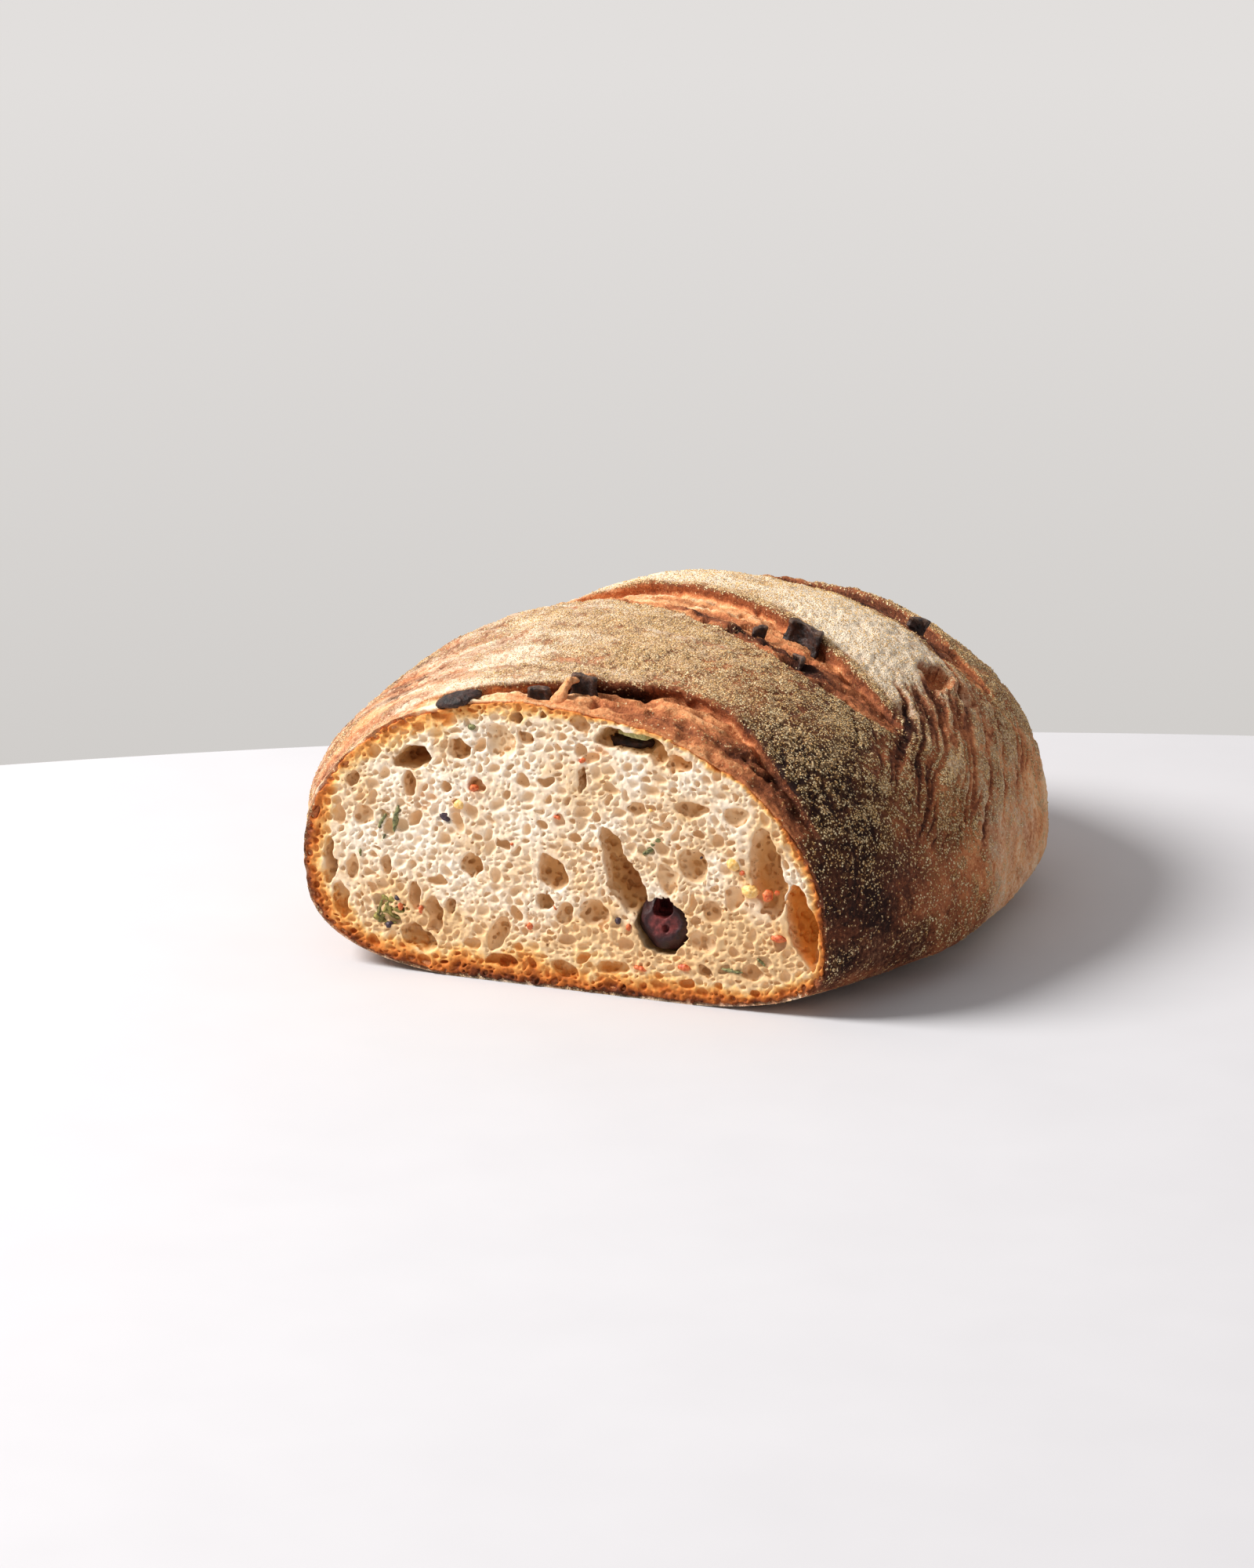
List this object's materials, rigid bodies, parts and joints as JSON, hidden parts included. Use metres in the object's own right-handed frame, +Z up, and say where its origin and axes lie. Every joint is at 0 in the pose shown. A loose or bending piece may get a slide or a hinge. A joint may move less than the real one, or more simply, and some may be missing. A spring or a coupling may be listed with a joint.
{
  "type": "rustic bread loaf",
  "caption": "Hand-shaped rustic loaf with scored, dusted crust, cut straight through near one end to show an open crumb with olives and herbs.",
  "frame": {"origin": "on the resting plane, under the middle of the loaf's bounding box", "axes": "+Z up, -Y out of the cut face, +Y along the loaf towards its round end, +X towards the side that bulges lower"},
  "size_m": [0.1958, 0.2084, 0.0902],
  "materials": {
    "crust": "baked crust, brown with pale semolina dust",
    "crumb": "open cream-coloured crumb, matt and slightly translucent",
    "olive": "dark olive flesh, satin where cut, leathery where baked",
    "herb": "dull green baked leaf"
  },
  "bodies": {
    "root": {"loaf": "crust", "olive_crumb": "olive", "olive_crust_rim": "olive", "olive_leaf_hole": "olive", "olive_slash_one_left": "olive", "olive_slash_one_right": "olive", "olive_slash_two_big": "olive", "olive_slash_two_chunk": "olive", "olive_slash_two_sliver": "olive", "olive_slash_three": "olive", "herb_clump": "herb", "herb_leaf": "herb"}
  },
  "joints": []
}
